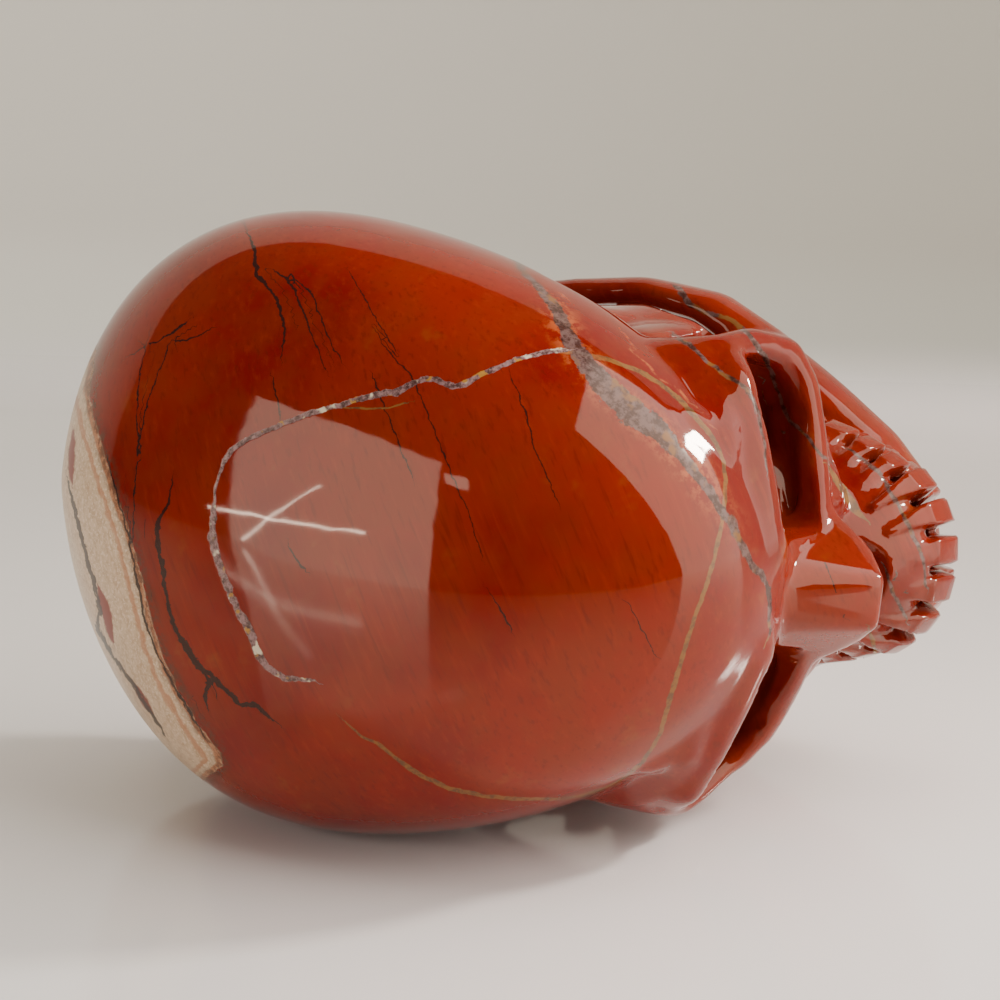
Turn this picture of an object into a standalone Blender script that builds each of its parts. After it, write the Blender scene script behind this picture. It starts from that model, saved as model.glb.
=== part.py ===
# A human skull carved from one piece of red jasper.
# It is drawn upright first, with x to the skull's left, y to the back of the
# head and z to the crown, in millimetres, and laid on its right side at the end.

import math

import bmesh
import bpy
import numpy as np
from mathutils import Matrix, Vector

MM = 0.001

# Length of the finished carving from the nose to the back of the head, in metres.
LENGTH = 0.127

# Size of the brain case, measured from the middle of the head.
CASE_LEFT_WIDTH = 49.2
CASE_RIGHT_WIDTH = 47.4
CASE_FRONT = 75.0
CASE_BACK = 52.0
CASE_HALF_HEIGHT = 43.5
CASE_MIDDLE = (0.0, 8.0, 22.5)
CASE_FULLNESS = 2.22
CASE_LEFT_TOP_WIDER = 0.14
CASE_RIGHT_TOP_WIDER = 0.28
CASE_WORN_CORNER = 0.32

# The row of teeth, seen from above.
ROW_HALF_WIDTH = 20.4
ROW_FRONT = -72.0
ROW_BACK = -36.0
TOOTH_HALF_WIDTHS = (3.0, 2.75, 2.75, 2.5, 2.5, 3.2, 3.0)

# How far the jaws, the right cheek and its arch lie off to the left.
JAW_SHIFT = 2.6
RIGHT_CHEEK_SHIFT = 4.0
RIGHT_ARCH_SHIFT = 2.1

# How fine the stone is worked out, and how many facets are kept.
COARSE_STEP = 1.0
FINE_STEP = 0.65
FACETS_KEPT = 9600

# The way that points down when the skull rests, in the upright drawing.
REST_SIDE = (-0.988, -0.038, -0.149)

for old in list(bpy.data.objects):
    bpy.data.objects.remove(old, do_unlink=True)


def ball(centre, radii, fineness):
    """Points of a stretched ball."""
    sphere = bmesh.new()
    bmesh.ops.create_icosphere(sphere, subdivisions=fineness, radius=1.0)
    points = []
    for vertex in sphere.verts:
        x = centre[0] + vertex.co.x * radii[0]
        y = centre[1] + vertex.co.y * radii[1]
        z = centre[2] + vertex.co.z * radii[2]
        points.append(Vector((x, y, z)))
    sphere.free()
    return points


def wrap(mesh, points):
    """Adds the tight closed skin round a cloud of points."""
    new = [mesh.verts.new(point) for point in points]
    result = bmesh.ops.convex_hull(mesh, input=new)
    loose = set(result["geom_interior"]) | set(result["geom_unused"])
    loose = [item for item in loose if isinstance(item, bmesh.types.BMVert)]
    bmesh.ops.delete(mesh, geom=loose, context="VERTS")


def limb(mesh, stations, sides=(1, -1), fineness=2):
    """Joins stretched balls, each (x, y, z, rx, ry, rz), into one rounded bar."""
    for side in sides:
        balls = []
        for x, y, z, rx, ry, rz in stations:
            balls.append(ball((side * x, y, z), (rx, ry, rz), fineness))
        if len(balls) == 1:
            wrap(mesh, balls[0])
        for first, second in zip(balls, balls[1:]):
            wrap(mesh, first + second)


def both_sides(points):
    """The same points on the left and on the right."""
    return [Vector((side * x, y, z)) for side in (1, -1) for x, y, z in points]


def horseshoe(height, half_width, front, back):
    """A rounded arch of points at one height."""
    points = []
    for angle in np.linspace(-math.pi / 2, math.pi / 2, 25):
        x = half_width * math.copysign(abs(math.sin(angle)) ** 0.82, angle)
        y = back - (back - front) * math.cos(angle) ** 0.82
        points.append(Vector((x, y, height)))
    return points


def body(name, draw):
    """Draws a mesh in millimetres and turns it into an object in metres."""
    mesh = bmesh.new()
    draw(mesh)
    bmesh.ops.scale(mesh, vec=(MM, MM, MM), verts=mesh.verts)
    bmesh.ops.recalc_face_normals(mesh, faces=mesh.faces)
    data = bpy.data.meshes.new(name)
    mesh.to_mesh(data)
    mesh.free()
    thing = bpy.data.objects.new(name, data)
    bpy.context.scene.collection.objects.link(thing)
    return thing


def settle(thing):
    """Makes the modifiers part of the mesh."""
    graph = bpy.context.evaluated_depsgraph_get()
    data = bpy.data.meshes.new_from_object(thing.evaluated_get(graph))
    thing.modifiers.clear()
    thing.data = data


def fuse(thing, step):
    """Melts everything that overlaps into one closed skin."""
    melt = thing.modifiers.new("Fuse", "REMESH")
    melt.mode = "VOXEL"
    melt.voxel_size = step * MM
    settle(thing)


def polish(thing, passes):
    rub = thing.modifiers.new("Polish", "SMOOTH")
    rub.factor = 0.5
    rub.iterations = passes
    settle(thing)


def carve(thing, tool):
    """Cuts the shape of the tool out of the stone."""
    tool.hide_render = True
    tool.display_type = "WIRE"
    cut = thing.modifiers.new("Carve", "BOOLEAN")
    cut.operation = "DIFFERENCE"
    cut.solver = "EXACT"
    cut.object = tool
    settle(thing)
    bpy.data.objects.remove(tool, do_unlink=True)


def add_to(thing, extra):
    """Puts the mesh of the extra piece into the first one."""
    mesh = bmesh.new()
    mesh.from_mesh(thing.data)
    mesh.from_mesh(extra.data)
    mesh.to_mesh(thing.data)
    mesh.free()
    bpy.data.objects.remove(extra, do_unlink=True)


# Brain case: an egg, wider behind, with a flattened base and a tucked-in nape.
def draw_case(mesh):
    egg = bmesh.ops.create_uvsphere(mesh, u_segments=96, v_segments=64, radius=1.0)
    middle = Vector(CASE_MIDDLE)
    for vertex in egg["verts"]:
        x, y, z = vertex.co
        p = CASE_FULLNESS
        full = (abs(x) ** p + abs(y) ** p + abs(z) ** p) ** (-1 / p)
        x, y, z = x * full, y * full, z * full
        nape = max(0, y) * max(0, -z)
        forehead = max(0, -y) * max(0, z)
        temple = max(0, -y) * max(0, -z)
        worn = 1 - CASE_WORN_CORNER * max(0, -x) * max(0, y + 0.15) * max(0, z)
        taper = (1 + (0.04 if y > 0 else 0.09) * y) * (1 - 0.25 * temple)
        reach = CASE_BACK if y > 0 else CASE_FRONT
        if x > 0:
            wide = CASE_LEFT_WIDTH * x * taper * (1 + CASE_LEFT_TOP_WIDER * z)
        else:
            wide = CASE_RIGHT_WIDTH * x * taper * (1 + CASE_RIGHT_TOP_WIDER * z)
        deep = CASE_MIDDLE[1] + reach * y - 9 * nape + 2 * forehead
        high = CASE_MIDDLE[2] + CASE_HALF_HEIGHT * z + 9 * nape
        if high < -6:
            high = -6 + (high + 6) * 0.5
        vertex.co = middle + (Vector((wide, deep, high)) - middle) * worn
    # brow ridges, and the stone between them over the nose
    limb(mesh, [(36.8, -48.5, 11.5, 2.6, 3.0, 3.6), (32.5, -54, 16.8, 3.6, 3.6, 3.8),
                (24, -58.2, 18.6, 4.6, 4, 4), (15, -61.5, 19.5, 5, 4.4, 4.4),
                (8, -63.2, 18.5, 4.4, 4.6, 4.8)])
    limb(mesh, [(8, -63, 18, 4.4, 4.4, 4.6), (0, -61.2, 15.5, 4.6, 4.6, 6)])
    # the middle of the head behind the face
    limb(mesh, [(0, -30, -2, 20, 28, 13)], sides=(1,))
    limb(mesh, [(12, -45, -6, 10, 13, 10)])


# Hollows of the temples: one shallow and wide, one deep behind the cheek.
def draw_temple_tool(mesh):
    limb(mesh, [(60, -27, 3, 22.5, 24, 28)], fineness=3)
    limb(mesh, [(43, -34, -8, 10, 12, 15), (42, -29, -22, 10, 14, 12)], fineness=3)


def draw_face(mesh):
    # outer corner of the forehead
    for side in (1, -1):
        corner = []
        for x, y, z in [(18, -54, 24), (26, -44, 28), (33.5, -38, 24), (34.6, -46, 18),
                        (31, -52.5, 17.8), (24.5, -56.3, 23.5)]:
            corner += ball((side * x, y, z), (3.6, 3.6, 3.6), 2)
        wrap(mesh, corner)
    # ridge that runs from the forehead down to the cheek bone
    limb(mesh, [(35.0, -37, 20.5, 2.4, 5, 4.0), (35.6, -43.5, 18.0, 2.8, 4.4, 4.4),
                (37.0, -48.5, 12.0, 2.6, 3.2, 3.8), (38.0, -49, 4.5, 2.5, 3.2, 4.2),
                (36.0, -51.5, -3, 3.2, 3.6, 3.8)])
    # outer wall of the eye hollow
    for side in (1, -1):
        wall = []
        for x, y, z in [(34, -45, 12), (34, -45, -2), (20, -33, 14), (20, -33, -6)]:
            wall += ball((side * x, y, z), (3.2, 3.2, 3.2), 1)
        wrap(mesh, wall)
    # lower rim of the eye hollow
    limb(mesh, [(36.0, -51.5, -3, 3.2, 3.6, 3.8), (31, -54.6, -5.2, 3.2, 3.0, 3.2),
                (23.5, -57.2, -5.2, 3, 2.8, 3.2), (16, -60, -3.4, 3, 2.8, 3.2),
                (11, -61.5, -2.4, 3, 3, 3.4)])
    # cheek bone and the front of the upper jaw
    limb(mesh, [(33.3, -48, -6, 4.2, 5, 5.5), (28, -48.5, -11, 5.5, 5, 6.5),
                (20, -49.5, -14, 7, 5, 7)])
    limb(mesh, [(26, -51.5, -8, 5.5, 4.6, 5), (17, -55, -9, 6, 4.6, 6),
                (12, -58, -9, 5, 4.6, 6)])
    # side of the nose
    limb(mesh, [(11, -61.5, -2.4, 3, 3, 3.4), (8, -60.5, 8, 2.4, 3.2, 5),
                (6.5, -60.6, 15, 2.8, 3.2, 4)])
    # cheek arch, back to the ear
    limb(mesh, [(36.2, -48.5, -4, 3.6, 4.0, 5.0), (41.2, -37, -4, 3.0, 4, 5.6),
                (42.2, -25, -3.6, 2.5, 4, 4.6), (40.0, -12, -2.5, 2.4, 4, 3.4),
                (36, 0, -1, 3.2, 5, 3.8)])
    # bridge of the nose, flat on top with sharp sides
    wrap(mesh, both_sides([(2.6, -65.2, 15), (3.9, -76.4, -0.5), (6, -62, 15),
                           (7.6, -71.5, -4.5), (12.4, -64.2, -5), (12, -56, -6),
                           (6, -54, 14), (2, -52, -3)]))
    # upper jaw over the roots of the teeth
    wrap(mesh, horseshoe(-7, 12.5, -62, -30) + horseshoe(-13, 17.2, -68.2, -30)
         + horseshoe(-19, 20.2, -71.6, -32) + horseshoe(-24, 21.2, -73.4, -32)
         + horseshoe(-26, 20.6, -72.6, -32))
    # stone left standing between the jaws
    wrap(mesh, horseshoe(-22, 16.5, -68.5, -22) + horseshoe(-40, 15.5, -60.5, -24))
    web = []
    for side in (1, -1):
        for x, y, z in [(16, -38, -30), (28, -18, -28), (14, -20, -24)]:
            web += ball((side * x, y, z), (3, 4, 6), 1)
    wrap(mesh, web)
    # bump behind the ear
    limb(mesh, [(34.5, 9, -2, 5.5, 9, 8), (32.5, 10, -13, 3.6, 6, 6)])
    # lower jaw: chin, side, angle and the branch up to the joint
    limb(mesh, [(0, -60.5, -42, 6, 4.8, 6.5), (9, -58.2, -42, 4.5, 4.5, 6.3),
                (15.5, -51.5, -41, 4.2, 4.6, 7), (21.5, -42, -40, 4, 5, 7.3),
                (28.8, -29, -39, 3.6, 6, 8), (34.4, -16, -38, 3.6, 7, 8),
                (33.6, -10, -24, 2.8, 8, 8), (34, -5, -9, 2.8, 5.4, 7)])
    limb(mesh, [(0, -61, -36, 10, 5, 6)], sides=(1,))
    limb(mesh, [(32.6, -16, -26, 2.4, 7, 8), (33, -20, -10, 2.0, 4.2, 6)])


# Eye hollows: a rounded square at the front, running back and inwards.
def draw_eye_tool(mesh):
    corners = [(28.8, 12.0), (12.4, 12.8), (13.4, 4.2), (27.4, 1.6)]
    for side in (1, -1):
        mouth = []
        middle = []
        for x, z in corners:
            mouth += ball((side * (x * 1.03), -69, z * 1.02), (4.8, 3, 4.8), 2)
            middle += ball((side * x, -55, z), (4.5, 3, 4.5), 2)
        wrap(mesh, mouth + middle)
        wrap(mesh, middle + ball((side * 10.5, -38, 8), (5, 4, 5), 2))


# Nose opening under the bridge, shaped like a pear.
def draw_nose_tool(mesh):
    wrap(mesh, both_sides([(1.5, -85, -1.5), (5, -85, -5), (8, -85, -10),
                           (7.6, -85, -14.5), (4, -85, -16.5), (1, -60, -3),
                           (4.5, -57, -6), (5.5, -57, -12), (3, -57, -14)]))


# Hollow under the head between the two sides of the lower jaw.
def draw_jaw_tool(mesh):
    limb(mesh, [(0, -44, -56, 9.5, 9, 14), (0, -34, -56, 16, 12, 20),
                (0, -12, -54, 23, 16, 21)], sides=(1,), fineness=3)


# Teeth: seven a side above, with roots that show as ridges, and seven below.
def draw_teeth(mesh):
    angles = np.linspace(0.0001, math.pi / 2 - 0.0001, 600)
    row_x = ROW_HALF_WIDTH * np.sin(angles) ** 0.86
    row_y = ROW_BACK - (ROW_BACK - ROW_FRONT) * np.cos(angles) ** 0.86
    run = np.concatenate([[0], np.cumsum(np.hypot(np.diff(row_x), np.diff(row_y)))])
    start = 0.0
    for number, half in enumerate(TOOTH_HALF_WIDTHS):
        middle = start + half
        start += 2 * half + 0.1
        spot = Vector((np.interp(middle, run, row_x), np.interp(middle, run, row_y), 0))
        step_x = np.interp(middle + 0.6, run, row_x) - np.interp(middle - 0.6, run, row_x)
        step_y = np.interp(middle + 0.6, run, row_y) - np.interp(middle - 0.6, run, row_y)
        along = Vector((step_x, step_y, 0)).normalized()
        outward = Vector((along.y, -along.x, 0))
        front = number < 3
        half -= 0.28
        tip = -31.3 + 0.3 * number

        def ring(height, width, depth, lean):
            points = []
            for turn in range(16):
                angle = turn * math.pi / 8
                across = width * math.copysign(abs(math.cos(angle)) ** 0.75, math.cos(angle))
                out = depth * math.copysign(abs(math.sin(angle)) ** 0.75, math.sin(angle))
                points.append(spot + along * across + outward * (out + lean)
                              + Vector((0, 0, height)))
            return points

        for side in (1, -1):
            root = ring(-14, half * 0.3, 1.2, -2.6 if front else -1.4)
            root += ring(-19, half * 0.4, 1.6, -0.2)
            root += ring(-25, half * 0.8, 2.2, -0.1)
            crown = ring(-25, half * 0.86, 2.2, 0)
            crown += ring(-28.5, half, 1.9, 0.9 if front else 0.2)
            crown += ring(tip, half * 0.86, 1.0, 1.1 if front else 0.2)
            below = ring(-30.6, half * 0.86, 1.1, -2.4)
            below += ring(-33, half * 0.84, 1.7, -2.4)
            below += ring(-38, half * 0.66, 1.8, -3.0)
            for piece in (root, crown, below):
                wrap(mesh, [Vector((side * p.x, p.y, p.z)) for p in piece])


skull = body("skull", draw_case)
fuse(skull, COARSE_STEP)
polish(skull, 10)

temple_tool = body("temple_tool", draw_temple_tool)
fuse(temple_tool, COARSE_STEP)
polish(temple_tool, 5)
carve(skull, temple_tool)

add_to(skull, body("face", draw_face))
fuse(skull, COARSE_STEP)
polish(skull, 6)

eye_tool = body("eye_tool", draw_eye_tool)
fuse(eye_tool, COARSE_STEP)
polish(eye_tool, 2)
carve(skull, eye_tool)

carve(skull, body("nose_tool", draw_nose_tool))

jaw_tool = body("jaw_tool", draw_jaw_tool)
fuse(jaw_tool, COARSE_STEP)
polish(jaw_tool, 4)
carve(skull, jaw_tool)

add_to(skull, body("teeth", draw_teeth))
fuse(skull, FINE_STEP)
polish(skull, 5)


def ease(start, stop, value):
    """Rises smoothly from 0 to 1 between two places."""
    part = min(1, max(0, (value / MM - start) / (stop - start)))
    return part * part * (3 - 2 * part)


# The jaws, the right cheek and its arch are carved a little off to the left.
for vertex in skull.data.vertices:
    x, y, z = vertex.co
    jaws = ease(-4, -26, z) * ease(-10, -40, y)
    cheek = ease(-12, -32, x) * ease(12, -6, z) * ease(-24, -46, y) * (1 - jaws)
    arch = ease(-26, -38, x) * ease(8, -2, z) * ease(-30, -16, z) * ease(2, -10, y)
    shift = JAW_SHIFT * jaws + RIGHT_CHEEK_SHIFT * cheek + RIGHT_ARCH_SHIFT * arch
    vertex.co.x += shift * MM

# Fewer facets, smaller where the shape is busy.
thin = skull.modifiers.new("Thin", "DECIMATE")
thin.ratio = FACETS_KEPT / sum(len(face.vertices) - 2 for face in skull.data.polygons)
thin.use_collapse_triangulate = True
settle(skull)

# Lay the skull down: its face to the front, its right side to the ground, on
# the facet of its tight skin that carries the middle of its weight.
lay = Matrix(((0, 0, -1), (0, 1, 0), (1, 0, 0))).to_4x4()
skull.data.transform(lay)
weight = Vector((0, 0, 0))
volume = 0.0
solid = bmesh.new()
solid.from_mesh(skull.data)
bmesh.ops.triangulate(solid, faces=solid.faces)
for face in solid.faces:
    a, b, c = [vertex.co for vertex in face.verts]
    part = a.dot(b.cross(c)) / 6
    volume += part
    weight += (a + b + c) / 4 * part
weight /= volume
skin = bmesh.new()
wrap(skin, [vertex.co.copy() for vertex in solid.verts])
bmesh.ops.recalc_face_normals(skin, faces=skin.faces)
side_down = (lay.to_3x3() @ Vector(REST_SIDE)).normalized()
best = None
for face in skin.faces:
    foot = weight + face.normal * (face.verts[0].co - weight).dot(face.normal)
    corners = [vertex.co for vertex in face.verts]
    inside = True
    for a, b in zip(corners, corners[1:] + corners[:1]):
        if (b - a).cross(foot - a).dot(face.normal) < 0:
            inside = False
    lean = face.normal.angle(side_down)
    if inside and (best is None or lean < best[0]):
        best = (lean, face.normal.copy())
solid.free()
skin.free()
tip_over = best[1].rotation_difference(Vector((0, 0, -1))).to_matrix().to_4x4()
skull.data.transform(tip_over)
ys = [vertex.co.y for vertex in skull.data.vertices]
skull.data.transform(Matrix.Scale(LENGTH / (max(ys) - min(ys)), 4))
xs, ys, zs = zip(*[vertex.co for vertex in skull.data.vertices])
skull.data.transform(Matrix.Translation((-(min(xs) + max(xs)) / 2,
                                         -(min(ys) + max(ys)) / 2, -min(zs))))

for face in skull.data.polygons:
    face.use_smooth = True

stone = bpy.data.materials.new("red_jasper")
stone.use_nodes = True
shader = stone.node_tree.nodes["Principled BSDF"]
shader.inputs["Base Color"].default_value = (0.30, 0.030, 0.008, 1.0)
shader.inputs["Roughness"].default_value = 0.08
shader.inputs["Metallic"].default_value = 0.0
skull.data.materials.clear()
skull.data.materials.append(stone)
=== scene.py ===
import math

import bpy
import numpy as np
from mathutils import Matrix, Vector


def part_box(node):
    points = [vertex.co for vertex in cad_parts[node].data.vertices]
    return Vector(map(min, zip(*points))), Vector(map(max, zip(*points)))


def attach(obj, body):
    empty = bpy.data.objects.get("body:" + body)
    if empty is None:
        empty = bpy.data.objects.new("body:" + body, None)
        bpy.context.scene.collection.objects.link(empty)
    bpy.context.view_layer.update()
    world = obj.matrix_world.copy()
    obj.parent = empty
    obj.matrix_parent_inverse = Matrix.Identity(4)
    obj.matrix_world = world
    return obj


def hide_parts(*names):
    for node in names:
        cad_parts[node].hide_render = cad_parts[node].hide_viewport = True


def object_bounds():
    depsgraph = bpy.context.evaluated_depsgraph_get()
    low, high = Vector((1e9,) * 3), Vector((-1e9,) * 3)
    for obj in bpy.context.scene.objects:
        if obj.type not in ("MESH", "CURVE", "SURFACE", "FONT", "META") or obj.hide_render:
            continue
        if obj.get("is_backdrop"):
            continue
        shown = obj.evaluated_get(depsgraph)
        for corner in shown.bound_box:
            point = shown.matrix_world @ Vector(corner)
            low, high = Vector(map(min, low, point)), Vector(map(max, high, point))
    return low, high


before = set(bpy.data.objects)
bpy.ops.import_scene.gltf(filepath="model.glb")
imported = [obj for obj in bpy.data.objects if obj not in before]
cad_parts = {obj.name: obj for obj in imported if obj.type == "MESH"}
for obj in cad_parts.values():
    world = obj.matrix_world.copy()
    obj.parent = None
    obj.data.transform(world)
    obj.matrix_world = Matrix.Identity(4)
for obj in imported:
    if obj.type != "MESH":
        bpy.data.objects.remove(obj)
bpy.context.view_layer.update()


# CAMERA
# It is hand-held a little over half a metre away and looks down from the crown
# side. Its place is given in the upright skull's own millimetres: x to its left,
# y to the back of the head, z to the crown.

MM = 0.001
DRAWN_TO_REAL = 0.93698
MIDDLE_OF_SKULL = Vector((7.462, 7.490, 40.692)) * MM
UP_AT_REST = Vector((0.988, 0.0385, 0.1494))
CAMERA_OVER_FACE = math.radians(59.0)
CAMERA_TO_LEFT = math.radians(9.0)
CAMERA_ROLL = math.radians(6.8)
CAMERA_DISTANCE = 661.0
AIM_POINT = Vector((0.0, -5.6, 25.0))
AIM_RIGHT = 11.8
AIM_UP = 5.5
LENS_PIXELS = 4066.0
SENSOR_WIDTH = 36.0
PHOTO_SIDE = 1000

upright_to_laid = Matrix(((0, 0, -1), (0, 1, 0), (1, 0, 0)))
settle_on_side = (upright_to_laid @ UP_AT_REST).rotation_difference(Vector((0, 0, 1)))
turn_to_rest = settle_on_side.to_matrix() @ upright_to_laid
to_rest = Matrix.Translation(MIDDLE_OF_SKULL) @ (turn_to_rest * (DRAWN_TO_REAL * MM)).to_4x4()

towards_camera = Vector((math.sin(CAMERA_TO_LEFT),
                         -math.cos(CAMERA_TO_LEFT) * math.cos(CAMERA_OVER_FACE),
                         math.cos(CAMERA_TO_LEFT) * math.sin(CAMERA_OVER_FACE)))
down_the_face = Vector((0.0, -math.sin(CAMERA_OVER_FACE), -math.cos(CAMERA_OVER_FACE)))
across_the_face = towards_camera.cross(down_the_face)
camera_right = down_the_face * math.cos(CAMERA_ROLL) + across_the_face * math.sin(CAMERA_ROLL)
camera_up = across_the_face * math.cos(CAMERA_ROLL) - down_the_face * math.sin(CAMERA_ROLL)
camera_spot = to_rest @ (AIM_POINT + camera_right * AIM_RIGHT + camera_up * AIM_UP
                         + towards_camera * CAMERA_DISTANCE)
view_axes = [(turn_to_rest @ axis).normalized() for axis in (camera_right, camera_up, towards_camera)]

bpy.ops.object.select_all(action="DESELECT")
bpy.ops.object.camera_add()
camera = bpy.context.object
camera.name = "camera"
camera.matrix_world = Matrix.Translation(camera_spot) @ Matrix(view_axes).transposed().to_4x4()
camera.data.sensor_width = SENSOR_WIDTH
camera.data.lens = LENS_PIXELS / PHOTO_SIDE * SENSOR_WIDTH
camera.data.clip_start = 0.01
bpy.context.scene.camera = camera


# BRAIN CASE
# One block of red jasper, ground to an egg that is wider behind and above,
# with a flattened base and a tucked-in nape. Brow ridges stand on its front.

CASE_LEFT_WIDTH = 49.2
CASE_RIGHT_WIDTH = 47.4
CASE_FRONT = 75.0
CASE_BACK = 52.0
CASE_HALF_HEIGHT = 43.5
CASE_MIDDLE_BACK = 8.0
CASE_MIDDLE_UP = 22.5
CASE_FULLNESS = 2.22
CASE_LEFT_TOP_WIDER = 0.14
CASE_RIGHT_TOP_WIDER = 0.28
CASE_WORN_CORNER = 0.32
CASE_FLOOR = -6.0
ROUGH_STEP = 0.9


def start_piece(name):
    """An empty piece in edit mode, to be filled with shapes."""
    bpy.ops.object.select_all(action="DESELECT")
    bpy.ops.mesh.primitive_circle_add(vertices=3, radius=MM)
    piece = bpy.context.object
    piece.name = name
    bpy.ops.object.mode_set(mode="EDIT")
    bpy.ops.mesh.select_all(action="SELECT")
    bpy.ops.mesh.delete(type="VERT")
    return piece


def add_ball(x, y, z, rx, ry, rz, fineness=2):
    bpy.ops.mesh.primitive_ico_sphere_add(subdivisions=fineness, radius=MM,
                                          location=(x * MM, y * MM, z * MM), scale=(rx, ry, rz))


def skin_over():
    """Draws a tight skin round what was just added, and hides it from the next steps."""
    bpy.ops.mesh.select_all(action="SELECT")
    bpy.ops.mesh.convex_hull()
    bpy.ops.mesh.select_all(action="SELECT")
    bpy.ops.mesh.hide(unselected=False)


def add_limb(stations, fineness=2):
    """A rounded bar through stretched balls, each (x, y, z, rx, ry, rz)."""
    for first, second in zip(stations, stations[1:]):
        add_ball(*first, fineness=fineness)
        add_ball(*second, fineness=fineness)
        skin_over()


def finish_piece(piece, mirrored=True):
    """Brings back the hidden shapes and makes the skull's other side."""
    bpy.ops.mesh.reveal()
    bpy.ops.mesh.select_all(action="SELECT")
    bpy.ops.mesh.normals_make_consistent(inside=False)
    bpy.ops.object.mode_set(mode="OBJECT")
    if mirrored:
        work(piece, "MIRROR", use_mirror_merge=False)
        bpy.ops.object.mode_set(mode="EDIT")
        bpy.ops.mesh.select_all(action="SELECT")
        bpy.ops.mesh.normals_make_consistent(inside=False)
        bpy.ops.object.mode_set(mode="OBJECT")


def work(piece, kind, **settings):
    """One modifier, made part of the mesh at once."""
    bpy.ops.object.select_all(action="DESELECT")
    piece.select_set(True)
    bpy.context.view_layer.objects.active = piece
    step = piece.modifiers.new(kind.title(), kind)
    for name, value in settings.items():
        setattr(step, name, value)
    bpy.ops.object.modifier_apply(modifier=step.name)


def grind(piece, step, passes):
    """Melts overlapping shapes into one closed skin and rubs it smooth."""
    work(piece, "REMESH", mode="VOXEL", voxel_size=step * MM)
    if passes:
        work(piece, "SMOOTH", factor=0.5, iterations=passes)


def carve(piece, tool):
    work(piece, "BOOLEAN", operation="DIFFERENCE", solver="EXACT", object=tool)
    bpy.data.objects.remove(tool, do_unlink=True)


def join(piece, extra):
    bpy.ops.object.select_all(action="DESELECT")
    extra.select_set(True)
    piece.select_set(True)
    bpy.context.view_layer.objects.active = piece
    bpy.ops.object.join()


bpy.ops.object.select_all(action="DESELECT")
bpy.ops.mesh.primitive_uv_sphere_add(segments=128, ring_count=80, radius=1.0)
skull = bpy.context.object
skull.name = "carved_skull"
for vertex in skull.data.vertices:
    x, y, z = vertex.co
    bulk = abs(x) ** CASE_FULLNESS + abs(y) ** CASE_FULLNESS + abs(z) ** CASE_FULLNESS
    full = bulk ** (-1 / CASE_FULLNESS)
    x, y, z = x * full, y * full, z * full
    nape = max(0, y) * max(0, -z)
    forehead = max(0, -y) * max(0, z)
    temple = max(0, -y) * max(0, -z)
    worn = 1 - CASE_WORN_CORNER * max(0, -x) * max(0, y + 0.15) * max(0, z)
    taper = (1 + (0.04 if y > 0 else 0.09) * y) * (1 - 0.25 * temple)
    if x > 0:
        wide = CASE_LEFT_WIDTH * x * taper * (1 + CASE_LEFT_TOP_WIDER * z)
    else:
        wide = CASE_RIGHT_WIDTH * x * taper * (1 + CASE_RIGHT_TOP_WIDER * z)
    deep = CASE_MIDDLE_BACK + (CASE_BACK if y > 0 else CASE_FRONT) * y - 9 * nape + 2 * forehead
    high = CASE_MIDDLE_UP + CASE_HALF_HEIGHT * z + 9 * nape
    if high < CASE_FLOOR:
        high = CASE_FLOOR + (high - CASE_FLOOR) * 0.5
    deep = (deep - CASE_MIDDLE_BACK) * worn + CASE_MIDDLE_BACK
    high = (high - CASE_MIDDLE_UP) * worn + CASE_MIDDLE_UP
    vertex.co = Vector((wide * worn, deep, high)) * MM

brow = start_piece("brow")
add_limb([(36.8, -48.5, 11.5, 2.6, 3.0, 3.6), (32.5, -54, 16.8, 3.6, 3.6, 3.8),
          (24, -58.2, 18.6, 4.6, 4, 4), (15, -61.5, 19.5, 5, 4.4, 4.4),
          (8, -63.2, 18.5, 4.4, 4.6, 4.8)])
add_limb([(8, -63, 18, 4.4, 4.4, 4.6), (0, -61.2, 15.5, 4.6, 4.6, 6)])
add_limb([(12, -45, -6, 10, 13, 10), (0, -30, -2, 20, 28, 13)])
finish_piece(brow)
join(skull, brow)
grind(skull, ROUGH_STEP, 10)


# TEMPLES
# Each side of the head is hollowed with a round wheel: wide and shallow above,
# deep behind the cheek bone.

temple_tool = start_piece("temple_tool")
add_ball(60, -27, 3, 22.5, 24, 28, fineness=4)
skin_over()
add_limb([(43, -34, -8, 10, 12, 15), (42, -29, -22, 10, 14, 12)], fineness=3)
finish_piece(temple_tool)
grind(temple_tool, ROUGH_STEP, 5)
carve(skull, temple_tool)


# CHEEKS AND EYE RIMS
# Ridges left standing round the eye hollows, the cheek bones, and the arches
# that run back from them to the ears.

face = start_piece("face")
for x, y, z in ((18, -54, 24), (26, -44, 28), (33.5, -38, 24), (34.6, -46, 18), (31, -52.5, 17.8),
                (24.5, -56.3, 23.5)):
    add_ball(x, y, z, 3.6, 3.6, 3.6)
skin_over()
add_limb([(13, -59, 25, 3.8, 3.8, 3.8), (21, -57.2, 24, 3.8, 3.8, 3.8), (26, -52.5, 27.5, 3.8, 3.8, 3.8)])
add_limb([(35.0, -37, 20.5, 2.4, 5, 4.0), (35.6, -43.5, 18.0, 2.8, 4.4, 4.4),
          (37.0, -48.5, 12.0, 2.6, 3.2, 3.8), (38.0, -49, 4.5, 2.5, 3.2, 4.2),
          (36.0, -51.5, -3, 3.2, 3.6, 3.8)])
for x, y, z in ((34, -45, 12), (34, -45, -2), (20, -33, 14), (20, -33, -6)):
    add_ball(x, y, z, 3.2, 3.2, 3.2, fineness=1)
skin_over()
add_limb([(36.0, -51.5, -3, 3.2, 3.6, 3.8), (31, -54.6, -5.2, 3.2, 3.0, 3.2),
          (23.5, -57.2, -5.2, 3, 2.8, 3.2), (16, -60, -3.4, 3, 2.8, 3.2),
          (11, -61.5, -2.4, 3, 3, 3.4)])
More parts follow.
